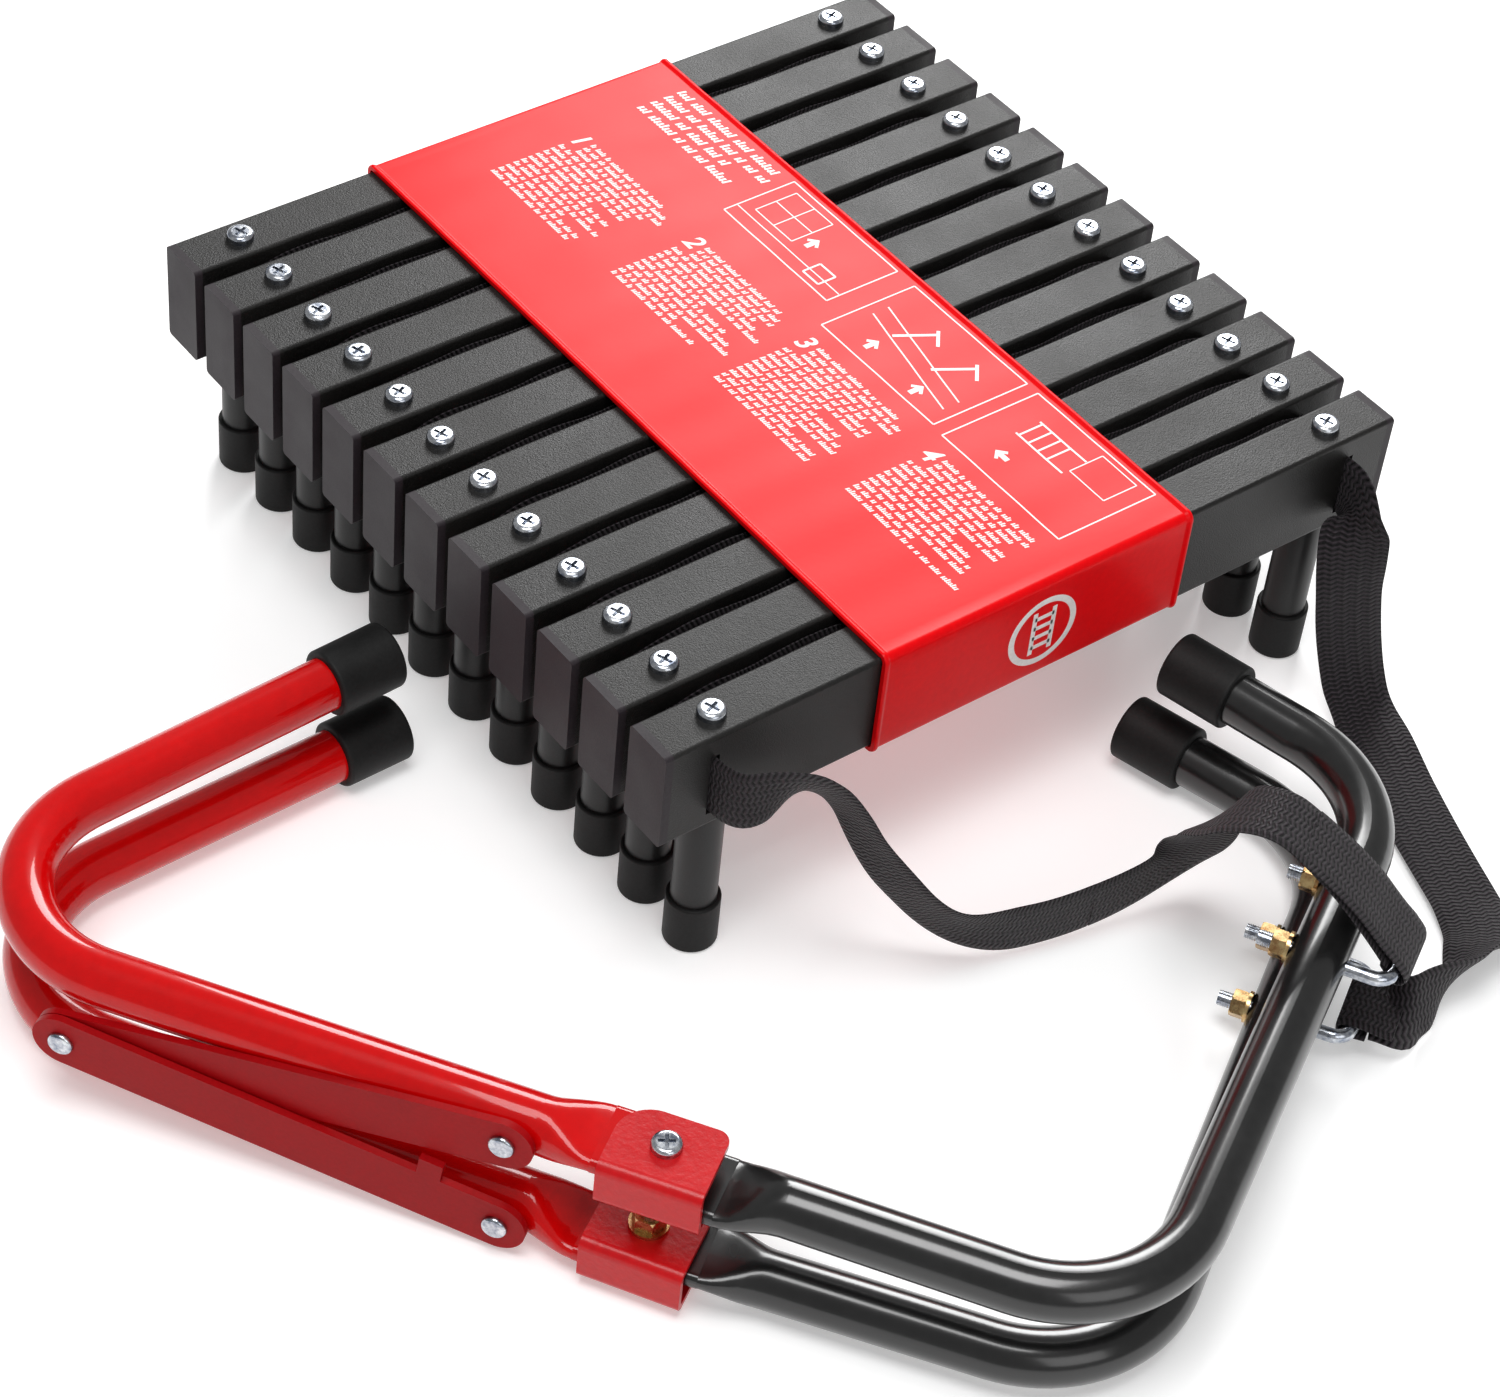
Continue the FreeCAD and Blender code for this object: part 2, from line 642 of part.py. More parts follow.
def make_bar(name, hook, face, tab):
    """One bar of the crosspiece, from its hook's rivet to the rivet at the apex."""
    body = doc.addObject("PartDesign::Body", name)
    outline = sketch_on(body, name + "_outline", "XZ_Plane")
    bar_outline(outline)
    pad_sketch(body, outline, name + "_plate")
    if tab:
        stop = sketch_on(body, name + "_stop", "XZ_Plane")
        tab_outline(stop)
        pad_sketch(body, stop, name + "_stop_plate")
    rise = fold_angle() if hook == "lower" else -fold_angle()
    at_rivet = Placement(Vector(0, size(face) + size("bar_thick"), hook_z(hook)),
                         Rotation(Y_AXIS, -rise))
    body.Placement = crosspiece_frame() * at_rivet
    doc.recompute()
    keep(body, name)


def rivet(along_bars, height, inner_face, outer_face):
    """A shank between two low domed heads; the faces are counted out from the hooks."""
    at = lambda out: Vector(along_bars, out, height)
    head, tall = size("rivet_head"), 1.7
    outer = disc(head, tall)
    outer = outer.makeFillet(tall * 0.7, [e for e in outer.Edges if top_ring(e, tall)])
    outer.Placement = Placement(at(outer_face), Rotation(Z_AXIS, Y_AXIS))
    inner = disc(head, 1, at(inner_face), -Y_AXIS)
    shank = disc(size("rivet_radius"), outer_face - inner_face, at(inner_face), Y_AXIS)
    return in_crosspiece(outer.fuse(inner).fuse(shank))


def make_crosspiece():
    apex = math.sqrt(size("bar_length") ** 2 - (size("hook_rise") / 2) ** 2)
    low, high = hook_z("lower"), hook_z("upper")
    inner_side = size("inner_bar_face")
    inner_top = inner_side + size("bar_thick") + 0.1
    outer_top = size("outer_bar_face") + size("bar_thick") + 0.1
    make_bar("upper_crossbar", "upper", "inner_bar_face", tab=False)
    make_bar("lower_crossbar", "lower", "outer_bar_face", tab=True)
    in_tube = size("rivet_inner_face")
    feature("upper_rivet", rivet(0, high, in_tube, inner_top))
    feature("lower_rivet", rivet(0, low, in_tube, outer_top))
    feature("apex_rivet", rivet(apex, (low + high) / 2, inner_side - 0.1, outer_top))
    lower_tube_face = 10.75
    ring = disc(5.5, size("outer_bar_face") - 0.1 - lower_tube_face, Vector(0, lower_tube_face, low),
                Y_AXIS)
    spacer = in_crosspiece(ring).cut(rivet_hole("lower"))
    feature("rivet_spacer", spacer)


# ---- the free straps, from the first rung's slots to the hooks' U-bolts

def bow(name):
    """The middle of a U-bolt's bow: X along the bow, -Y away from the hook."""
    place = hook_place(name, "black") * bolt_frame()
    return place * Placement(Vector(0, -size("bow_reach"), 0), Rotation())


def eye(length, rise):
    """The strap's end turned round the bow and stitched to itself, as one strip."""
    wide, thick = size("eye_width"), size("web_thick")
    hole = size("bolt_radius") + size("eye_gap")
    left = Vector(-wide / 2, 0, 0)
    strip = Part.makeBox(wide, length, 2 * thick, Vector(-wide / 2, 0, -thick))
    strip.rotate(CENTRE, X_AXIS, rise)
    ring = disc(hole + thick, wide, left, X_AXIS).fuse(strip)
    return ring.cut(disc(hole, wide, left, X_AXIS))


def eye_end(name, length, rise):
    """Where the strap goes on from its stitched eye."""
    angle = math.radians(rise)
    reach = length + size("eye_slack")
    return bow(name).multVec(Vector(0, reach * math.cos(angle), reach * math.sin(angle)))


STRAP_ROUTES = {
    # counted from the middle of the first rung and the floor; the eyes' ends are added in code
    "left_near": [(-138.75, -9.9, 82.5), (-138.75, -21, 82.5), (-125, -26, 84.5), (-111, -27, 83),
                  (-100, -32, 72), (-93, -39, 53), (-84, -49, 35), (-72, -58, 21), (-55, -66, 14.5),
                  (-33, -72, 14), (-20.9, -73.9, 15)],
    "left_far": [(-20.5, -74, 15), (-8, -76, 16), (10, -80, 25), (12, -87, 41), (5, -95, 58),
                 (-1, -104, 75), (0, -111, 84)],
    "right": [(138.75, -9.9, 82.5), (138.75, -19, 82.5), (133, -25, 73), (132, -28, 58), (132, -31, 42),
              (133, -35, 26), (133, -42, 12), (130, -55, 5), (123, -74, 4), (114, -96, 4),
              (106, -118, 4), (99, -138, 4.5), (91, -153, 7), (76, -161, 11), (57, -166, 13),
              (46, -167.5, 13.3)],
}
STRAIGHT_IN = 10


def corner_radii(points):
    """The largest arc for each inner point that its two runs leave room for."""
    radii = []
    for before, corner, after in zip(points, points[1:], points[2:]):
        first, second = corner - before, after - corner
        shorter = min(first.Length, second.Length)
        radii.append(0.45 * shorter / math.tan(first.getAngle(second) / 2))
    return radii


def make_strap(name, points):
    radii = corner_radii(points)
    print(name, "radii", [round(r) for r in radii])
    tube = pipe(points, radii, size("strap_radius"))
    length = rounded_path(points, radii).Length
    section = math.pi * size("strap_radius") ** 2
    print(name, "length", round(length, 1), "volume ratio", round(tube.Volume / (section * length), 4))
    feature("strap_" + name, tube)


def make_straps():
    eyes = {"upper": (size("upper_eye_length"), size("upper_eye_rise")),
            "lower": (size("lower_eye_length"), size("lower_eye_rise"))}
    ends = {"left_near": [], "right": [eye_end("lower", *eyes["lower"])]}
    length, rise = eyes["upper"]
    ends["left_far"] = [eye_end("upper", length + STRAIGHT_IN, rise), eye_end("upper", length, rise)]
    for hook, (length, rise) in eyes.items():
        feature(f"strap_eye_{hook}", eye(length, rise).transformed(bow(hook).toMatrix()))
    for name, route in STRAP_ROUTES.items():
        make_strap(name, [beside(*place) for place in route] + ends[name])


def check_and_write():
    """Stops on any failed object or bad shape, then writes one STEP file per sub-part."""
    for thing in doc.Objects:
        if "Invalid" in thing.State or "Error" in thing.State:
            raise RuntimeError(f"{thing.Label} is {thing.State}")
    os.makedirs("parts", exist_ok=True)
    for thing in subparts:
        shape = thing.Shape
        if shape.isNull() or not shape.isValid() or not shape.Solids:
            raise RuntimeError(f"{thing.Label} has no valid solid")
        shape.exportStep(f"parts/{thing.Label}.step")
    print(len(subparts), "sub-parts written")


fill_sheet()
for number in range(int(size("rung_count"))):
    make_rung(number)
make_rows()
make_webbing("left", -1)
make_webbing("right", 1)
make_sleeve()
for hook in HOOKS:
    make_hook(hook)
make_crosspiece()
make_straps()
doc.recompute()
check_and_write()
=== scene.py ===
# Escape ladder, folded and ready for use. Metres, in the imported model's own frame.
import bpy
import bmesh
import math
from mathutils import Matrix, Vector


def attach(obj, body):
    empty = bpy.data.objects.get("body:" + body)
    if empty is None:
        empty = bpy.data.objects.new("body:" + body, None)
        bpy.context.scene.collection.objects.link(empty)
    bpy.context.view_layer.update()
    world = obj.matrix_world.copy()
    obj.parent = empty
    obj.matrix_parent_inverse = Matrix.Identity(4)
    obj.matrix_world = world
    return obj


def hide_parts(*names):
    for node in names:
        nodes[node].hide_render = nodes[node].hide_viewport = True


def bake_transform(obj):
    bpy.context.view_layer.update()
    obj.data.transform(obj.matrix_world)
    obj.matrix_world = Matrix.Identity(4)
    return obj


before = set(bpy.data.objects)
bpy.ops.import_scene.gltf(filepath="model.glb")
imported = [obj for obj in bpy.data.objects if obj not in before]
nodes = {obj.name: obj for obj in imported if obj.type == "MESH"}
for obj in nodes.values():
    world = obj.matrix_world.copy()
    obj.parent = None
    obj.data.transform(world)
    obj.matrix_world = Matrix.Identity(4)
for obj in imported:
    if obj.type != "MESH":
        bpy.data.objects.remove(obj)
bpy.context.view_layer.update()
scene = bpy.context.scene
print("frame loaded:", len(nodes), "nodes")

mm = 0.001

cameraView = {
    "place": (-0.5986, -0.6937, 0.9545),
    "turn": (45.63, -4.503, -36.697),  # degrees
    "lens": 91.59,
    "sensor": 36,
}


def makeCamera():
    data = bpy.data.cameras.new("camera")
    data.lens = cameraView["lens"]
    data.sensor_width = cameraView["sensor"]
    data.clip_start = 0.05
    data.clip_end = 50
    camera = bpy.data.objects.new("camera", data)
    camera.location = cameraView["place"]
    camera.rotation_euler = [math.radians(a) for a in cameraView["turn"]]
    scene.collection.objects.link(camera)
    scene.camera = camera


makeCamera()


def deselectAll():
    bpy.ops.object.select_all(action="DESELECT")


def activate(piece):
    deselectAll()
    piece.select_set(True)
    bpy.context.view_layer.objects.active = piece


def meshPiece(name, vertices, faces):
    mesh = bpy.data.meshes.new(name)
    mesh.from_pydata([tuple(v) for v in vertices], [], faces)
    piece = bpy.data.objects.new(name, mesh)
    scene.collection.objects.link(piece)
    return piece


def edgePiece(name, vertices):
    # a closed outline with no faces yet
    mesh = bpy.data.meshes.new(name)
    count = len(vertices)
    mesh.from_pydata(vertices, [(i, (i + 1) % count) for i in range(count)], [])
    piece = bpy.data.objects.new(name, mesh)
    scene.collection.objects.link(piece)
    return piece


def smoothPiece(piece, angle=35):
    activate(piece)
    bpy.ops.object.shade_smooth_by_angle(angle=math.radians(angle))


def applyModifiers(piece):
    activate(piece)
    for modifier in list(piece.modifiers):
        bpy.ops.object.modifier_apply(modifier=modifier.name)


def finishPiece(piece, material, body):
    piece.data.materials.clear()
    piece.data.materials.append(material)
    if body:
        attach(piece, body)


def fixNormals(piece):
    shell = bmesh.new()
    shell.from_mesh(piece.data)
    bmesh.ops.recalc_face_normals(shell, faces=shell.faces)
    shell.to_mesh(piece.data)
    shell.free()


def joined(name, parts):
    deselectAll()
    for part in parts:
        part.select_set(True)
    bpy.context.view_layer.objects.active = parts[0]
    bpy.ops.object.join()
    whole = bpy.context.view_layer.objects.active
    whole.name = name
    whole.data.name = name
    return whole


def copyAt(template, matrix):
    copy = template.copy()
    copy.data = template.data.copy()
    copy.data.transform(matrix)
    scene.collection.objects.link(copy)
    return copy


def newGroup(name, inputs, outputs):
    group = bpy.data.node_groups.new(name, "ShaderNodeTree")
    for socket, kind, value in inputs:
        made = group.interface.new_socket(name=socket, in_out="INPUT", socket_type=kind)
        if value is not None:
            made.default_value = value
    for socket, kind in outputs:
        group.interface.new_socket(name=socket, in_out="OUTPUT", socket_type=kind)
    entry = group.nodes.new("NodeGroupInput")
    leave = group.nodes.new("NodeGroupOutput")
    return group, entry, leave


def mathNode(tree, operation, first, second=None):
    node = tree.nodes.new("ShaderNodeMath")
    node.operation = operation
    for index, value in enumerate((first, second)):
        if value is None:
            continue
        if isinstance(value, (int, float)):
            node.inputs[index].default_value = value
        else:
            tree.links.new(value, node.inputs[index])
    return node.outputs[0]


def noiseNode(tree, vector, scale, detail=2.0, rough=0.5):
    node = tree.nodes.new("ShaderNodeTexNoise")
    tree.links.new(vector, node.inputs["Vector"])
    if isinstance(scale, (int, float)):
        node.inputs["Scale"].default_value = scale
    else:
        tree.links.new(scale, node.inputs["Scale"])
    node.inputs["Detail"].default_value = detail
    node.inputs["Roughness"].default_value = rough
    return node.outputs["Fac"]


def mapRange(tree, value, low, high, newLow, newHigh):
    node = tree.nodes.new("ShaderNodeMapRange")
    tree.links.new(value, node.inputs["Value"])
    for socket, given in (("From Min", low), ("From Max", high), ("To Min", newLow),
                          ("To Max", newHigh)):
        if isinstance(given, (int, float)):
            node.inputs[socket].default_value = given
        else:
            tree.links.new(given, node.inputs[socket])
    return node.outputs["Result"]


def mixColour(tree, factor, first, second):
    node = tree.nodes.new("ShaderNodeMix")
    node.data_type = "RGBA"
    tree.links.new(factor, node.inputs[0])
    tree.links.new(first, node.inputs[6])
    tree.links.new(second, node.inputs[7])
    return node.outputs[2]


def makePaintSkin():
    # fine grain of a sprayed coat: height, and a spread for tone and roughness
    group, entry, leave = newGroup(
        "paintSkin",
        [("Vector", "NodeSocketVector", None), ("Grain Scale", "NodeSocketFloat", 1500.0),
         ("Cloud Scale", "NodeSocketFloat", 30.0), ("Rough Low", "NodeSocketFloat", 0.4),
         ("Rough High", "NodeSocketFloat", 0.5), ("Dark", "NodeSocketColor", (0, 0, 0, 1)),
         ("Light", "NodeSocketColor", (1, 1, 1, 1))],
        [("Height", "NodeSocketFloat"), ("Roughness", "NodeSocketFloat"),
         ("Color", "NodeSocketColor")])
    grain = noiseNode(group, entry.outputs["Vector"], entry.outputs["Grain Scale"], 3.0, 0.6)
    cloud = noiseNode(group, entry.outputs["Vector"], entry.outputs["Cloud Scale"], 4.0, 0.6)
    blend = mathNode(group, "MULTIPLY", mathNode(group, "ADD", grain, cloud), 0.5)
    tone = mapRange(group, blend, 0.35, 0.65, 0.0, 1.0)
    group.links.new(grain, leave.inputs["Height"])
    group.links.new(mapRange(group, cloud, 0.3, 0.7, entry.outputs["Rough Low"],
                             entry.outputs["Rough High"]), leave.inputs["Roughness"])
    group.links.new(mixColour(group, tone, entry.outputs["Dark"], entry.outputs["Light"]),
                    leave.inputs["Color"])
    return group


def makeWeave():
    # woven webbing from its own UV map, in metres: ribs lie across the strap, rows run along it
    group, entry, leave = newGroup(
        "weave",
        [("Vector", "NodeSocketVector", None), ("Rib", "NodeSocketFloat", 0.0012),
         ("Row", "NodeSocketFloat", 0.0012), ("Dark", "NodeSocketColor", (0, 0, 0, 1)),
         ("Light", "NodeSocketColor", (1, 1, 1, 1))],
        [("Height", "NodeSocketFloat"), ("Color", "NodeSocketColor")])
    split = group.nodes.new("ShaderNodeSeparateXYZ")
    group.links.new(entry.outputs["Vector"], split.inputs[0])
    row = mathNode(group, "DIVIDE", split.outputs[1], entry.outputs["Row"])
    # each row is pushed half a rib from the one before, as in a plain weave
    shift = mathNode(group, "MULTIPLY", mathNode(group, "PINGPONG", row, 1.0), 0.5)
    rib = mathNode(group, "DIVIDE", split.outputs[0], entry.outputs["Rib"])
    ribWave = mathNode(group, "SINE", mathNode(group, "MULTIPLY",
                                               mathNode(group, "ADD", rib, shift), 2 * math.pi))
    rowWave = mathNode(group, "SINE", mathNode(group, "MULTIPLY", row, 2 * math.pi))
    both = mathNode(group, "ADD", mathNode(group, "MULTIPLY", ribWave, 0.8),
                    mathNode(group, "MULTIPLY", rowWave, 0.2))
    fuzz = noiseNode(group, entry.outputs["Vector"], 2500.0, 3.0, 0.7)
    height = mapRange(group, mathNode(group, "ADD", both, fuzz), -0.3, 1.3, 0.0, 1.0)
    group.links.new(height, leave.inputs["Height"])
    group.links.new(mixColour(group, height, entry.outputs["Dark"], entry.outputs["Light"]),
                    leave.inputs["Color"])
    return group


paintSkin = makePaintSkin()
weave = makeWeave()


def newMaterial(name, settings):
    material = bpy.data.materials.new(name)
    material.use_nodes = True
    tree = material.node_tree
    shader = tree.nodes["Principled BSDF"]
    for socket, value in settings.items():
        shader.inputs[socket].default_value = value
    return material, tree, shader


def addBump(tree, shader, height, strength, distance):
    bump = tree.nodes.new("ShaderNodeBump")
    bump.inputs["Strength"].default_value = strength
    bump.inputs["Distance"].default_value = distance
    tree.links.new(height, bump.inputs["Height"])
    tree.links.new(bump.outputs["Normal"], shader.inputs["Normal"])


def paintMaterial(name, look):
    material, tree, shader = newMaterial(name, look["shader"])
    place = tree.nodes.new("ShaderNodeTexCoord")
    skin = tree.nodes.new("ShaderNodeGroup")
    skin.node_tree = paintSkin
    tree.links.new(place.outputs["Object"], skin.inputs["Vector"])
    for socket, value in look["skin"].items():
        skin.inputs[socket].default_value = value
    tree.links.new(skin.outputs["Color"], shader.inputs["Base Color"])
    tree.links.new(skin.outputs["Roughness"], shader.inputs["Roughness"])
    addBump(tree, shader, skin.outputs["Height"], look["bump"][0], look["bump"][1])
    return material


def clothMaterial(name, look):
    material, tree, shader = newMaterial(name, look["shader"])
    place = tree.nodes.new("ShaderNodeUVMap")
    place.uv_map = "strapMap"
    cloth = tree.nodes.new("ShaderNodeGroup")
    cloth.node_tree = weave
    tree.links.new(place.outputs["UV"], cloth.inputs["Vector"])
    for socket, value in look["weave"].items():
        cloth.inputs[socket].default_value = value
    tree.links.new(cloth.outputs["Color"], shader.inputs["Base Color"])
    addBump(tree, shader, cloth.outputs["Height"], look["bump"][0], look["bump"][1])
    return material


def grey(value, warm=0.0):
    return (value * (1 + warm), value, value * (1 - warm), 1)


looks = {
    "rungBlack": {
        "shader": {"Specular IOR Level": 0.28},
        "skin": {"Grain Scale": 1600.0, "Cloud Scale": 25.0, "Rough Low": 0.36, "Rough High": 0.46,
                 "Dark": grey(0.003, 0.05), "Light": grey(0.013, 0.08)},
        "bump": (0.6, 0.0003)},
    "plugGrey": {
        "shader": {"Specular IOR Level": 0.22},
        "skin": {"Grain Scale": 1400.0, "Cloud Scale": 40.0, "Rough Low": 0.45, "Rough High": 0.6,
                 "Dark": (0.016, 0.012, 0.015, 1), "Light": (0.03, 0.024, 0.028, 1)},
        "bump": (0.3, 0.0001)},
    "legBlack": {
        "shader": {"Specular IOR Level": 0.3},
        "skin": {"Grain Scale": 1800.0, "Cloud Scale": 30.0, "Rough Low": 0.32, "Rough High": 0.42,
                 "Dark": grey(0.007), "Light": grey(0.014)},
        "bump": (0.2, 0.0001)},
    "capRubber": {
        "shader": {"Specular IOR Level": 0.2},
        "skin": {"Grain Scale": 900.0, "Cloud Scale": 60.0, "Rough Low": 0.5, "Rough High": 0.62,
                 "Dark": grey(0.005), "Light": grey(0.011)},
        "bump": (0.25, 0.00015)},
    "brightZinc": {
        "shader": {"Metallic": 1.0},
        "skin": {"Grain Scale": 600.0, "Cloud Scale": 220.0, "Rough Low": 0.16, "Rough High": 0.3,
                 "Dark": (0.2, 0.23, 0.3, 1), "Light": (0.74, 0.76, 0.78, 1)},
        "bump": (0.1, 0.00008)},
    "yellowZinc": {
        "shader": {"Metallic": 1.0},
        "skin": {"Grain Scale": 500.0, "Cloud Scale": 260.0, "Rough Low": 0.2, "Rough High": 0.34,
                 "Dark": (0.4, 0.2, 0.08, 1), "Light": (0.78, 0.6, 0.3, 1)},
        "bump": (0.15, 0.00008)},
    "tubeRed": {
        "shader": {"Coat Weight": 0.5, "Coat Roughness": 0.04, "Specular IOR Level": 0.1},
        "skin": {"Grain Scale": 260.0, "Cloud Scale": 20.0, "Rough Low": 0.2, "Rough High": 0.27,
                 "Dark": (0.48, 0.0005, 0.001, 1), "Light": (0.56, 0.0007, 0.0012, 1)},
        "bump": (0.06, 0.0002)},
    "tubeBlack": {
        "shader": {"Coat Weight": 0.4, "Coat Roughness": 0.12, "Specular IOR Level": 0.5},
        "skin": {"Grain Scale": 300.0, "Cloud Scale": 20.0, "Rough Low": 0.2, "Rough High": 0.28,
                 "Dark": grey(0.004), "Light": grey(0.009)},
        "bump": (0.06, 0.0002)},
    "bracketRed": {
        "shader": {"Coat Weight": 0.2, "Coat Roughness": 0.2, "Specular IOR Level": 0.25},
        "skin": {"Grain Scale": 420.0, "Cloud Scale": 30.0, "Rough Low": 0.28, "Rough High": 0.38,
                 "Dark": (0.44, 0.001, 0.004, 1), "Light": (0.54, 0.002, 0.005, 1)},
        "bump": (0.35, 0.0004)},
    "barRed": {
        "shader": {"Specular IOR Level": 0.12},
        "skin": {"Grain Scale": 700.0, "Cloud Scale": 30.0, "Rough Low": 0.36, "Rough High": 0.46,
                 "Dark": (0.25, 0.0006, 0.002, 1), "Light": (0.33, 0.001, 0.003, 1)},
        "bump": (0.2, 0.0002)},
    "sleeveRed": {
        "shader": {"Specular IOR Level": 0.1},
        "skin": {"Grain Scale": 500.0, "Cloud Scale": 12.0, "Rough Low": 0.28, "Rough High": 0.36,
                 "Dark": (0.66, 0.0008, 0.003, 1), "Light": (0.76, 0.0015, 0.004, 1)},
        "bump": (0.08, 0.0002)},
    "sleeveInk": {
        "shader": {"Specular IOR Level": 0.4},
        "skin": {"Grain Scale": 900.0, "Cloud Scale": 80.0, "Rough Low": 0.4, "Rough High": 0.5,
                 "Dark": (0.72, 0.66, 0.65, 1), "Light": (0.86, 0.82, 0.8, 1)},
        "bump": (0.1, 0.00005)},
}
materials = {name: paintMaterial(name, look) for name, look in looks.items()}

clothLook = {
    "shader": {"Roughness": 0.55, "Specular IOR Level": 0.25, "Sheen Weight": 0.04,
               "Sheen Roughness": 0.4},
    "weave": {"Rib": 0.0018, "Row": 0.0025, "Dark": (0.001, 0.0008, 0.001, 1),
              "Light": (0.035, 0.027, 0.033, 1)},
    "bump": (1.0, 0.001),
}
materials["webbing"] = clothMaterial("webbing", clothLook)
print("materials made:", len(materials))


def routeLine(name, places):
    # points along a smooth curve that follows a strap's route
    curve = bpy.data.curves.new(name + "Route", "CURVE")
    curve.dimensions = "3D"
    spline = curve.splines.new("NURBS")
    spline.points.add(len(places) - 1)
    for point, place in zip(spline.points, places):
        point.co = (place[0] * mm, place[1] * mm, place[2] * mm, 1)
    spline.order_u = 3
    spline.use_endpoint_u = True
    spline.resolution_u = 12
    holder = bpy.data.objects.new(name + "Route", curve)
    scene.collection.objects.link(holder)
    mesh = bpy.data.meshes.new_from_object(holder)
    line = [v.co.copy() for v in mesh.vertices]
    bpy.data.objects.remove(holder)
    return line


def evenLine(line, step):
    # the same line with points an even step apart
    marks = [0.0]
    for before, after in zip(line, line[1:]):
        marks.append(marks[-1] + (after - before).length)
    count = max(2, round(marks[-1] / step))
    points, index = [], 0
    for number in range(count + 1):
        want = marks[-1] * number / count
        while index < len(marks) - 2 and marks[index + 1] < want:
            index += 1
        run = marks[index + 1] - marks[index]
        share = (want - marks[index]) / run if run > 0 else 0
        points.append(line[index].lerp(line[index + 1], min(1, max(0, share))))
    return points, marks[-1]


def widthAt(turns, share):
    # the strap's width direction, eased between the given ones
    for (before, first), (after, second) in zip(turns, turns[1:]):
        if share <= after:
            t = (share - before) / (after - before)
            t = t * t * (3 - 2 * t)
            return Vector(first).normalized().lerp(Vector(second).normalized(), t)
    return Vector(turns[-1][1])


def flatStrap(name, line, turns, width, thick, start=0.0):
    # a woven strip along the line, with rounded edges and its own UV map in metres
    points, length = evenLine(line, strapSize["step"])
    across = strapSize["across"]
    rows = []
    for index, point in enumerate(points):
        before, after = points[max(0, index - 1)], points[min(len(points) - 1, index + 1)]
        tangent = (after - before).normalized()
        side = widthAt(turns, index / (len(points) - 1))
        side = (side - tangent * side.dot(tangent)).normalized()
        normal = tangent.cross(side)
        ring = []
        for layer in (1, -1):
            for column in range(across + 1):
                share = column / across if layer == 1 else 1 - column / across
                off = share - 0.5
                edge = min(1.0, math.sqrt(max(0.0, 1 - (2 * abs(off)) ** 10)) + 0.35)
                ring.append(point + side * (off * width) + normal * (layer * thick / 2 * edge))
        rows.append(ring)
    size = len(rows[0])
    vertices = [v for ring in rows for v in ring]
    faces = []
    for row in range(len(rows) - 1):
        for column in range(size):
            a, b = row * size + column, row * size + (column + 1) % size
            faces.append((a, b, b + size, a + size))
    faces.append(tuple(range(size - 1, -1, -1)))
    faces.append(tuple(range((len(rows) - 1) * size, len(rows) * size)))
    piece = meshPiece(name, vertices, faces)
    fixNormals(piece)
    layer = piece.data.uv_layers.new(name="strapMap")
    for loop in piece.data.loops:
        row, column = divmod(loop.vertex_index, size)
        share = column / across if column <= across else (size - 1 - column) / across
        layer.data[loop.index].uv = (start + length * row / (len(rows) - 1), share * width)
    smoothPiece(piece, 60)
    return piece, points, length


strapSize = {"width": 0.025, "thick": 0.0016, "sewnWidth": 0.0245, "sewnStart": 0.3,
             "step": 0.0022, "across": 10}

# routes in millimetres, and the width's direction at shares of the length
leftNear = {
    "route": [(-42.95, -42, 82.5), (-42.95, -54.3, 82.5), (-29.2, -59.3, 84.5), (-15.2, -60.3, 83),
              (-4.2, -65.3, 72), (2.8, -72.3, 53), (11.8, -82.3, 35), (23.8, -91.3, 21),
              (40.8, -99.3, 14.5), (62.8, -105.3, 14), (75, -107.2, 15)],
    "turns": [(0, (0, 0, 1)), (0.1, (0, -0.05, 1)), (0.24, (-0.2, -0.6, 0.75)),
              (0.34, (-0.1, -0.8, 0.6)), (0.55, (0.16, -0.84, 0.52)), (0.85, (0, -0.15, 1)),
              (1, (-0.05, -0.12, 1))],
}
leftFar = {
    "route": [(75.3, -107.3, 15), (87.8, -109.3, 16), (105.8, -113.3, 25), (107.8, -120.3, 41),
              (100.8, -128.3, 58), (94.8, -137.3, 75), (95.8, -144.3, 84), (101, -156.1, 88),
              (105.9, -164.5, 83.7), (116.6, -183.4, 67.3), (123.8, -196.1, 50.3)],
    "turns": [(0, (-0.05, -0.12, 1)), (0.2, (-0.35, -0.12, 0.9)), (0.42, (-0.82, -0.15, 0.55)),
              (0.6, (-0.867, -0.498, 0.06)), (1, (-0.867, -0.498, 0))],
}
rightStrap = {
    "route": [(234.55, -42, 82.5), (234.55, -52.3, 82.5), (228.8, -58.3, 73), (227.8, -61.3, 58),
              (227.8, -64.3, 42), (228.8, -68.3, 26), (228.8, -75.3, 10.5), (225.8, -88.3, 3.8),
              (218.8, -107.3, 2.8), (209.8, -129.3, 2.8), (201.8, -151.3, 2.8),
              (194.8, -171.3, 3.2), (186.8, -186.3, 5.5), (171.8, -194.3, 11),
              (152.8, -199.3, 13), (141.8, -200.8, 13.3), (131.9, -200.6, 13.3),
              (125.8, -193, 12.8)],
    "turns": [(0, (0, 0, 1)), (0.03, (0.1, -0.1, 1)), (0.1, (0.6, -0.4, 0.6)),
              (0.18, (0.92, -0.38, 0.05)), (0.3, (0.92, -0.3, 0)), (0.38, (0.8, 0.3, 0.2)),
              (0.48, (0.93, -0.3, 0.05)), (0.68, (0.93, -0.35, 0)), (0.76, (0.6, -0.7, 0.3)),
              (0.83, (0.1, -0.5, 0.85)), (0.93, (0.2, 0.3, 0.9)), (1, (0.85, 0.526, 0.1))],
}


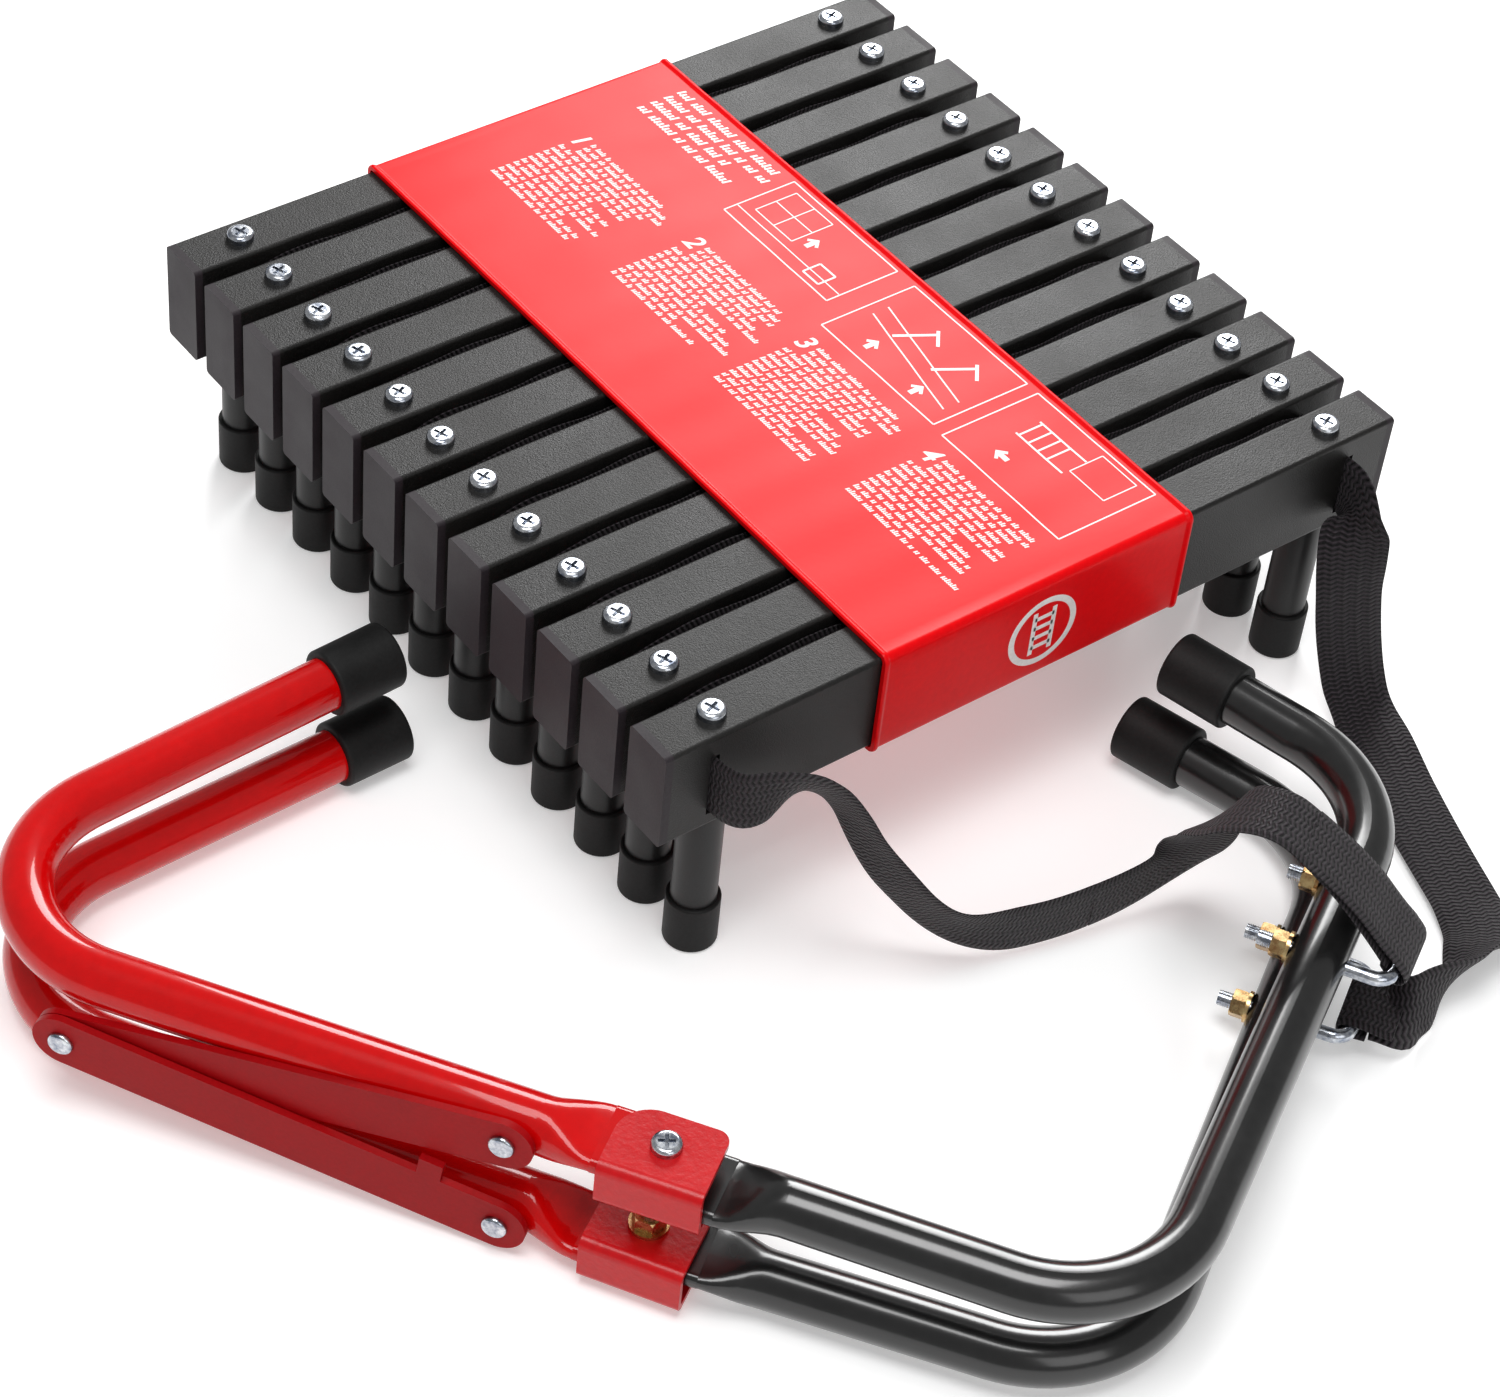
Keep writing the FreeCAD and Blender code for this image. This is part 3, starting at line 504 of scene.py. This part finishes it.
def makeFreeStraps():
    width, thick = strapSize["width"], strapSize["thick"]
    made = {}
    start = 0.0
    for name, strap in (("leftStrapNear", leftNear), ("leftStrapFar", leftFar),
                        ("rightStrap", rightStrap)):
        line = routeLine(name, strap["route"])
        piece, points, length = flatStrap(name, line, strap["turns"], width, thick, start)
        start += length
        finishPiece(piece, materials["webbing"], None)
        made[name] = piece
        print(name, "is", round(length * 1000), "mm long")
    return made


straps = makeFreeStraps()

strapEnds = {
    # the stitched end round each U-bolt: middle of the bow, way out of it, along the bow
    "leftStrapEnd": {"bow": (125.31, -198.37, 48), "away": (-0.3812, 0.6645, 0.6428),
                     "along": (0.867, 0.498, 0), "length": 52, "loop": 5, "arch": 5},
    "rightStrapEnd": {"bow": (123.84, -189.17, 12), "away": (0.5242, -0.8472, 0.0872),
                      "along": (0.850, 0.526, 0), "length": 14, "loop": 5, "arch": 0},
}


def makeStrapEnd(name, end):
    # the end comes back over itself from round the bow, and is sewn down
    bow = Vector(end["bow"])
    away = Vector(end["away"]).normalized()
    along = Vector(end["along"]).normalized()
    lift = along.cross(away)
    if lift.z < 0:
        lift = -lift

    def place(distance, height):
        arch = end["arch"] * math.sin(math.pi * min(max(distance, 0) / (end["length"] + 4), 1))
        return bow + away * distance + lift * (height + arch)
    places = [place(5, -2.6)]
    for degrees in (215, 180, 145):
        a = math.radians(degrees)
        places.append(place(math.cos(a) * end["loop"], math.sin(a) * end["loop"]))
    places += [place(5, 2.6), place(9, 1.3), place(end["length"] * 0.6, 1.2),
               place(end["length"], 0.95)]
    line = routeLine(name, places)
    piece, points, length = flatStrap(name, line, [(0, along), (1, along)],
                                      strapSize["sewnWidth"], strapSize["thick"],
                                      strapSize["sewnStart"])
    finishPiece(piece, materials["webbing"], None)
    return piece


strapEndPieces = {name: makeStrapEnd(name, end) for name, end in strapEnds.items()}

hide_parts("strap_left_near")
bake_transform(straps["leftStrapNear"])
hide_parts("strap_left_far")
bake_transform(straps["leftStrapFar"])
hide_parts("strap_right")
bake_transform(straps["rightStrap"])
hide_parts("strap_eye_upper")
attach(strapEndPieces["leftStrapEnd"], "upper_strap_end")
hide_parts("strap_eye_lower")
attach(strapEndPieces["rightStrapEnd"], "lower_black_arm")
print("free straps made")


# the ladder's own webbing, folded in the gaps between the rungs; millimetres
ladderWebbing = {"middle": 95.8, "firstRung": -33.3, "pitch": 26, "count": 12,
                 "halfRung": 9.75, "slot": 138.75, "fold": 6, "tail": 34, "height": 82.5,
                 "rise": 5, "steps": 9, "clear": 1.75, "sway": 0.45, "swayUp": 0.8,
                 "thick": 0.0015}


def makeLadderWebbing(name, side):
    w = ladderWebbing
    outer = w["slot"] * side
    places = [(outer, w["firstRung"] - w["halfRung"] + 1, 0)]
    for rung in range(w["count"]):
        y = w["firstRung"] + rung * w["pitch"]
        back = y + w["halfRung"]
        front = y + w["pitch"] - w["halfRung"]
        places += [(outer, y - w["halfRung"] + 2, 0), (outer, back - 1, 0)]
        if rung == w["count"] - 1:
            places += [(outer - side * 1.5, back + 1.6, 0), (outer - side * 12, back + 1.7, 0),
                       (outer - side * w["tail"], back + 1.9, 0)]
            continue
        # in along this rung's back, round, and out along the next rung's front
        steps = w["steps"]
        places += [(outer - side * 1.0, back + 1.3, 0)]
        for step in range(1, steps):
            x = outer + (side * w["fold"] - outer) * step / steps
            sway = math.sin(step * 2.3 + rung * 1.7)
            places.append((x, back + w["clear"] + w["sway"] * sway,
                           w["rise"] + w["swayUp"] * sway))
        places += [(side * w["fold"], back + 1.4, w["rise"]),
                   (side * (w["fold"] - 1.5), (back + front) / 2, w["rise"]),
                   (side * w["fold"], front - 1.4, w["rise"])]
        for step in range(steps - 1, 0, -1):
            x = outer + (side * w["fold"] - outer) * step / steps
            sway = math.sin(step * 1.9 + rung * 2.9 + 1)
            places.append((x, front - w["clear"] + w["sway"] * sway,
                           w["rise"] + w["swayUp"] * sway))
        places += [(outer - side * 1.0, front - 1.3, 0)]
    line = routeLine(name, [(w["middle"] + x, y, w["height"] + rise) for x, y, rise in places])
    piece, points, length = flatStrap(name, line, [(0, (0, 0, 1)), (1, (0, 0, 1))],
                                      strapSize["width"], w["thick"])
    finishPiece(piece, materials["webbing"], "ladder")
    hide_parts("webbing_left" if side < 0 else "webbing_right")


makeLadderWebbing("ladderWebbingLeft", -1)
makeLadderWebbing("ladderWebbingRight", 1)
print("ladder webbing made")


# millimetres; its walls' middle line runs from low to high and from front to back
sleeve = {"left": 23.3, "right": 157.3, "front": -44.25, "back": 263.65,
          "low": 62.8, "high": 105.2, "corner": 2.4, "cornerSteps": 6, "thick": 1.2,
          "step": 4, "hemWide": 2.6, "hemProud": 0.75,
          "hemStations": (0, 0.5, 1.1, 1.8, 2.4, 2.9, 3.4), "spans": 24,
          "dip": 0.06, "wave": 0.1}


def sleeveOutline():
    # the corners of the wall's middle line across the rungs, each point with its way out
    s = sleeve
    r = s["corner"]
    corners = [(180, s["front"] + r, s["high"] - r), (90, s["back"] - r, s["high"] - r),
               (0, s["back"] - r, s["low"] + r), (270, s["front"] + r, s["low"] + r)]
    points = []
    for begin, y, z in corners:
        for step in range(s["cornerSteps"] + 1):
            a = math.radians(begin - 90 * step / s["cornerSteps"])
            points.append((y + r * math.cos(a), z + r * math.sin(a), math.cos(a), math.sin(a)))
    return points


def sleeveSag(x, y):
    # the top wall dips a little between the rungs and waves along the band
    phase = (y - ladderWebbing["firstRung"]) / ladderWebbing["pitch"] * 2 * math.pi
    dip = sleeve["dip"] * (1 - math.cos(phase))
    return -dip - sleeve["wave"] * (1 + math.sin(x * 0.045 + y * 0.021))


def makeSleeve():
    s = sleeve
    outline = []
    ring = sleeveOutline()
    for (y, z, ny, nz), (y2, z2, ny2, nz2) in zip(ring, ring[1:] + ring[:1]):
        outline.append((y, z, ny, nz))
        run = math.hypot(y2 - y, z2 - z)
        pieces = int(run // s["step"])
        for step in range(1, pieces):
            t = step / pieces
            outline.append((y + (y2 - y) * t, z + (z2 - z) * t, ny, nz))
    stations = list(s["hemStations"])
    width = s["right"] - s["left"]
    plain = width - 2 * stations[-1]
    spread = [stations[-1] + plain * step / s["spans"] for step in range(1, s["spans"])]
    xs = stations + spread + [width - v for v in reversed(stations)]
    half = s["thick"] / 2

    def hem(x):
        near = min(x, width - x)
        if near >= s["hemWide"]:
            return 0.0
        t = near / s["hemWide"]
        return s["hemProud"] * math.sin(math.pi * min(1, t * 1.05 + 0.12)) ** 0.6 if t < 1 else 0.0

    vertices, faces = [], []
    count = len(outline)
    for wall in (1, -1):
        for x in xs:
            for y, z, ny, nz in outline:
                sag = sleeveSag(s["left"] + x, y) if nz > 0.99 else 0.0
                out = half * wall + (hem(x) if wall == 1 else 0)
                vertices.append(((s["left"] + x) * mm, (y + ny * out) * mm,
                                 (z + nz * out + sag) * mm))
    rows = len(xs)
    for wall in (0, 1):
        base = wall * rows * count
        for row in range(rows - 1):
            for column in range(count):
                a = base + row * count + column
                b = base + row * count + (column + 1) % count
                faces.append((a, b, b + count, a + count))
    for row in (0, rows - 1):
        for column in range(count):
            a, b = row * count + column, row * count + (column + 1) % count
            faces.append((a, b, b + rows * count, a + rows * count))
    piece = meshPiece("sleeve_band", vertices, faces)
    fixNormals(piece)
    smoothPiece(piece, 50)
    finishPiece(piece, materials["sleeveRed"], "ladder")
    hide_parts("sleeve")


makeSleeve()
print("sleeve made")


# the sleeve's print: plain strokes, numerals and simple pictures; millimetres
ink = {"top": 105.86, "back": 263.0, "left": 23.3, "thick": 0.1, "slant": 0.22,
       "stroke": 0.25, "pitch": 0.44, "line": 0.13, "bend": 4}


def inkPlace(u, v):
    # a place on the sleeve's top: u from its back edge, v from its left edge
    return Vector(((ink["left"] + v) * mm, (ink["back"] - u) * mm, ink["top"] * mm))


def inkBar(u, v, long, wide, turn=0.0):
    # a flat bar, turned by degrees in the print's own plane and cut across so it can bend
    bpy.ops.mesh.primitive_cube_add(size=1)
    bar = bpy.context.object
    work = bmesh.new()
    work.from_mesh(bar.data)
    lengths = max(1, round(long / ink["bend"]))
    for step in range(1, lengths):
        bmesh.ops.bisect_plane(work, geom=work.verts[:] + work.edges[:] + work.faces[:],
                               plane_co=(step / lengths - 0.5, 0, 0), plane_no=(1, 0, 0))
    work.to_mesh(bar.data)
    work.free()
    reading = Matrix.Rotation(math.radians(turn - 90), 4, "Z")
    bar.data.transform(Matrix.Translation(inkPlace(u, v)) @ reading
                       @ Matrix.Diagonal((long * mm, wide * mm, ink["thick"] * mm, 1)))
    return bar


def strokeWord(strokes, tall, seed):
    # a run of strokes as long as a word, made once and copied wherever it is needed
    deselectAll()
    step = tall * ink["pitch"]
    parts = []

    def stroke(x, y, wide, high):
        bpy.ops.mesh.primitive_cube_add(size=1)
        bar = bpy.context.object
        bar.data.transform(Matrix.Translation((x * mm, y * mm, 0))
                           @ Matrix.Diagonal((wide * mm, high * mm, ink["thick"] * mm, 1)))
        parts.append(bar)
    for number in range(strokes):
        high = tall * (1, 0.72, 0.72, 0.95, 0.7, 0.72)[(number * 5 + seed) % 6]
        stroke(number * step, (high - tall) / 2, tall * ink["stroke"], high)
    stroke((strokes - 1) * step / 2, -tall * 0.32, (strokes - 1) * step, tall * ink["line"])
    word = joined("strokeWord", parts)
    for vertex in word.data.vertices:
        vertex.co.x += ink["slant"] * vertex.co.y
    return word


def wordRows(u, v, lines, pitch, tall, width, seed):
    # lines of such runs, each a copy of one of a few
    step = tall * ink["pitch"]
    kinds = {count: strokeWord(count, tall, seed + count) for count in (2, 3, 4, 5, 7, 8)}
    turn = Matrix.Rotation(-math.pi / 2, 4, "Z")
    bars = []
    state = seed
    for line in range(lines):
        at = u
        end = u + width * (0.6 if line % 4 == 3 else 0.93 + 0.07 * math.sin(line * 1.7 + seed))
        while at < end:
            state = (state * 37 + 11) % 101
            count = (3, 5, 2, 7, 4, 8, 3)[state % 7]
            place = Matrix.Translation(inkPlace(at, v - line * pitch))
            bars.append(copyAt(kinds[count], place @ turn))
            at += count * step + tall * 0.5
    for template in kinds.values():
        bpy.data.objects.remove(template)
    return bars


def numeral(text, u, v, size):
    bpy.ops.object.text_add()
    word = bpy.context.object
    word.data.body = text
    word.data.size = size * mm
    word.data.extrude = ink["thick"] / 2 * mm
    word.data.offset = 0.0002
    word.data.shear = ink["slant"]
    bpy.ops.object.convert(target="MESH")
    word = bpy.context.object
    word.data.transform(Matrix.Translation(inkPlace(u, v)) @ Matrix.Rotation(-math.pi / 2, 4, "Z"))
    return word


def inkFrame(u0, u1, v0, v1, wide=0.5):
    middleU, middleV = (u0 + u1) / 2, (v0 + v1) / 2
    return [inkBar(middleU, v0, u1 - u0, wide), inkBar(middleU, v1, u1 - u0, wide),
            inkBar(u0, middleV, wide, v1 - v0), inkBar(u1, middleV, wide, v1 - v0)]


def inkArrow(u, v, turn):
    a = math.radians(turn)
    tip = (u + 3.2 * math.cos(a), v + 3.2 * math.sin(a))
    bars = [inkBar(u, v, 5, 2.2, turn)]
    for side in (-1, 1):
        b = math.radians(turn + 180 + side * 45)
        bars.append(inkBar(tip[0] + 1.6 * math.cos(b), tip[1] + 1.6 * math.sin(b), 4.4, 1.3,
                           turn + side * 45))
    return bars


def makePrint():
    deselectAll()
    parts = []
    for line in range(4):
        parts += wordRows(21, 126.5 - line * 6.2, 1, 1, 4.0, (66, 62, 50, 46)[line], 5 + line * 9)
    for number, u in enumerate((25, 97, 164, 235), start=1):
        parts.append(numeral(str(number), u - 2, 72.5, 11))
        parts += wordRows(u + 6.5, 78, 3, 3.35, 2.3, 49, 3 + number)
        parts += wordRows(u, 67.9, 9 + number % 2, 3.35, 2.3, 54, 8 + number)
    # a window, and a bundle with an arrow to it
    parts += inkFrame(88, 150, 97, 129.5, 0.6)
    parts += inkFrame(94, 116, 107, 126)
    parts += [inkBar(105, 116.5, 0.5, 19), inkBar(105, 116.5, 22, 0.5), inkBar(119, 103, 61, 0.5)]
    parts += inkFrame(132, 141, 100, 108, 0.8) + inkArrow(121, 112, 90)
    # a sill with two hooks over it
    parts += inkFrame(160, 224, 87, 129.5, 0.6)
    parts += [inkBar(192, 108, 56, 0.6, -12), inkBar(192, 101, 56, 0.6, -12)]
    for u in (182, 204):
        parts += [inkBar(u, 112, 16, 1.3, 60), inkBar(u + 6, 118, 9, 1.3, -40)]
    parts += inkArrow(178, 95, 90) + inkArrow(206, 93, 90)
    # a window with the ladder let down from it
    parts += inkFrame(230, 293, 86, 129.5, 0.6)
    parts += inkFrame(268, 286, 112, 127)
    parts += [inkBar(255, 120, 25, 0.8), inkBar(255, 109, 25, 0.8)]
    parts += [inkBar(244 + 5 * step, 114.5, 0.8, 11) for step in range(4)]
    parts += inkArrow(250, 97, 180)
    piece = joined("sleevePrint", parts)
    for vertex in piece.data.vertices:
        vertex.co.z += sleeveSag(vertex.co.x / mm, vertex.co.y / mm) * mm
    finishPiece(piece, materials["sleeveInk"], "ladder")


# a plain badge of this ladder's own, a ring with a ladder in it; millimetres
badge = {"middle": 93.5, "height": 83.5, "clear": 0.63, "radius": 13.5, "ring": 1.3,
         "flatten": 0.05, "thick": 0.1, "rails": (-4.2, 4.2), "rail": (1.9, 19),
         "steps": (-6.5, -2.2, 2.2, 6.5), "step": (8.4, 1.7)}


def makeBadge():
    b = badge
    deselectAll()
    bpy.ops.mesh.primitive_torus_add(major_radius=b["radius"] * mm, minor_radius=b["ring"] * mm,
                                     major_segments=64, minor_segments=8)
    ring = bpy.context.object
    ring.data.transform(Matrix.Diagonal((1, 1, b["flatten"], 1)))
    parts = [ring]
    bars = [(x, 0, b["rail"]) for x in b["rails"]] + [(0, y, b["step"]) for y in b["steps"]]
    for x, y, (wide, high) in bars:
        bpy.ops.mesh.primitive_cube_add(size=1)
        bar = bpy.context.object
        bar.data.transform(Matrix.Translation((x * mm, y * mm, 0))
                           @ Matrix.Diagonal((wide * mm, high * mm, b["thick"] * mm, 1)))
        parts.append(bar)
    piece = joined("sleeveBadge", parts)
    middle = Vector((b["middle"], sleeve["front"] - b["clear"], b["height"])) * mm
    piece.data.transform(Matrix.Translation(middle) @ Matrix.Rotation(math.pi / 2, 4, "X"))
    finishPiece(piece, materials["sleeveInk"], "ladder")


makePrint()
makeBadge()
print("print made")


# threads on the U-bolts' ends, past the nuts; millimetres
threadSize = {"root": 2.45, "crest": 2.72, "rootHalf": 0.32, "crestHalf": 0.08, "pitch": 0.8,
              "start": 15.9, "turns": 5, "spacing": 33}
boltPlaces = {
    "upper": {"middle": (113.365, -177.549, 48), "along": (0.8675, 0.4976, 0),
              "inward": (-0.4976, 0.8675, 0)},
    "lower": {"middle": (111.213, -168.762, 12), "along": (0.8504, 0.5262, 0),
              "inward": (-0.5262, 0.8504, 0)},
}


def makeThread():
    # one thread about +Z: a ridge wound by the screw modifier
    t = threadSize
    profile = [(t["root"], -t["rootHalf"]), (t["crest"], -t["crestHalf"]),
               (t["crest"], t["crestHalf"]), (t["root"], t["rootHalf"])]
    ridge = edgePiece("thread", [(radius * mm, 0, z * mm) for radius, z in profile])
    screw = ridge.modifiers.new("turns", "SCREW")
    screw.axis = "Z"
    screw.screw_offset = t["pitch"] * mm
    screw.iterations = t["turns"]
    screw.steps = screw.render_steps = 24
    applyModifiers(ridge)
    return ridge


def capEnds(piece):
    activate(piece)
    bpy.ops.object.mode_set(mode="EDIT")
    bpy.ops.mesh.select_all(action="SELECT")
    bpy.ops.mesh.remove_doubles(threshold=0.000001)
    bpy.ops.mesh.select_all(action="DESELECT")
    bpy.ops.mesh.select_non_manifold()
    bpy.ops.mesh.fill()
    bpy.ops.mesh.select_all(action="SELECT")
    bpy.ops.mesh.normals_make_consistent(inside=False)
    bpy.ops.object.mode_set(mode="OBJECT")


def makeThreads():
    template = makeThread()
    capEnds(template)
    for hook, place in boltPlaces.items():
        along, inward = Vector(place["along"]), Vector(place["inward"])
        turn = inward.to_track_quat("Z", "Y").to_matrix().to_4x4()
        copies = []
        for side in (-0.5, 0.5):
            at = Vector(place["middle"]) + along * (side * threadSize["spacing"])
            at += inward * threadSize["start"]
            copies.append(copyAt(template, Matrix.Translation(at * mm) @ turn))
        piece = joined(hook + "BoltThreads", copies)
        smoothPiece(piece, 30)
        finishPiece(piece, materials["brightZinc"], hook + "_black_arm")
    bpy.data.objects.remove(template)


makeThreads()
print("threads made")


# which CAD pieces have which finish
finishes = {
    "rungBlack": [f"rung_tube_{number:02d}" for number in range(1, 13)],
    "plugGrey": ["end_plugs_left", "end_plugs_right"],
    "legBlack": ["standoff_legs_left", "standoff_legs_right"],
    "capRubber": ["leg_caps_left", "leg_caps_right", "upper_red_tip", "upper_black_tip",
                  "lower_red_tip", "lower_black_tip"],
    "brightZinc": ["rung_screws_left", "rung_screws_right", "upper_pivot_screw",
                   "lower_pivot_screw", "upper_u_bolt", "lower_u_bolt", "upper_rivet",
                   "lower_rivet", "apex_rivet"],
    "yellowZinc": ["upper_pivot_nut", "lower_pivot_nut", "upper_bolt_nuts", "lower_bolt_nuts",
                   "upper_bolt_washers", "lower_bolt_washers"],
    "tubeRed": ["upper_red_tube", "lower_red_tube"],
    "tubeBlack": ["upper_black_tube", "lower_black_tube"],
    "bracketRed": ["upper_bracket", "lower_bracket"],
    "barRed": ["upper_crossbar", "lower_crossbar", "rivet_spacer"],
}
for finish, names in finishes.items():
    for name in names:
        mesh = nodes[name].data
        mesh.materials.clear()
        mesh.materials.append(materials[finish])
print("CAD pieces finished")


studio = {
    "floorTone": (0.8, 0.8, 0.8, 1),
    "glow": 0.32,
    "sky": 0.34,
    "lamps": [  # name, place, aimed at, size, watts
        ("softboxBack", (1.37, 1.36, 1.22), (0.2, 0.1, 0.0), 0.9, 36),
        ("softboxOver", (-0.4, -0.3, 2.4), (0.0, 0.0, 0.0), 1.2, 40),
        ("fillFront", (-0.3, -2.0, 1.2), (0.0, -0.1, 0.0), 1.2, 8),
    ],
}


def makeStudio():
    deselectAll()
    bpy.ops.mesh.primitive_plane_add(size=12, location=(0, 0, 0))
    floor = bpy.context.object
    floor.name = "floor"
    floor.data.transform(Matrix.Translation((0, 0, -0.0004)))
    material, tree, shader = newMaterial("floorPaper", {"Base Color": studio["floorTone"],
                                                        "Roughness": 0.55,
                                                        "Emission Color": (1, 1, 1, 1),
                                                        "Emission Strength": studio["glow"]})
    floor.data.materials.append(material)
    world = bpy.data.worlds.new("studio")
    world.use_nodes = True
    world.node_tree.nodes["Background"].inputs["Color"].default_value = (1, 1, 1, 1)
    world.node_tree.nodes["Background"].inputs["Strength"].default_value = studio["sky"]
    scene.world = world
    for name, place, aim, size, watts in studio["lamps"]:
        data = bpy.data.lights.new(name, "AREA")
        data.shape = "SQUARE"
        data.size = size
        data.energy = watts
        lamp = bpy.data.objects.new(name, data)
        lamp.location = place
        lamp.rotation_euler = (Vector(aim) - Vector(place)).to_track_quat("-Z", "Y").to_euler()
        scene.collection.objects.link(lamp)
    scene.view_settings.view_transform = "Standard"


makeStudio()
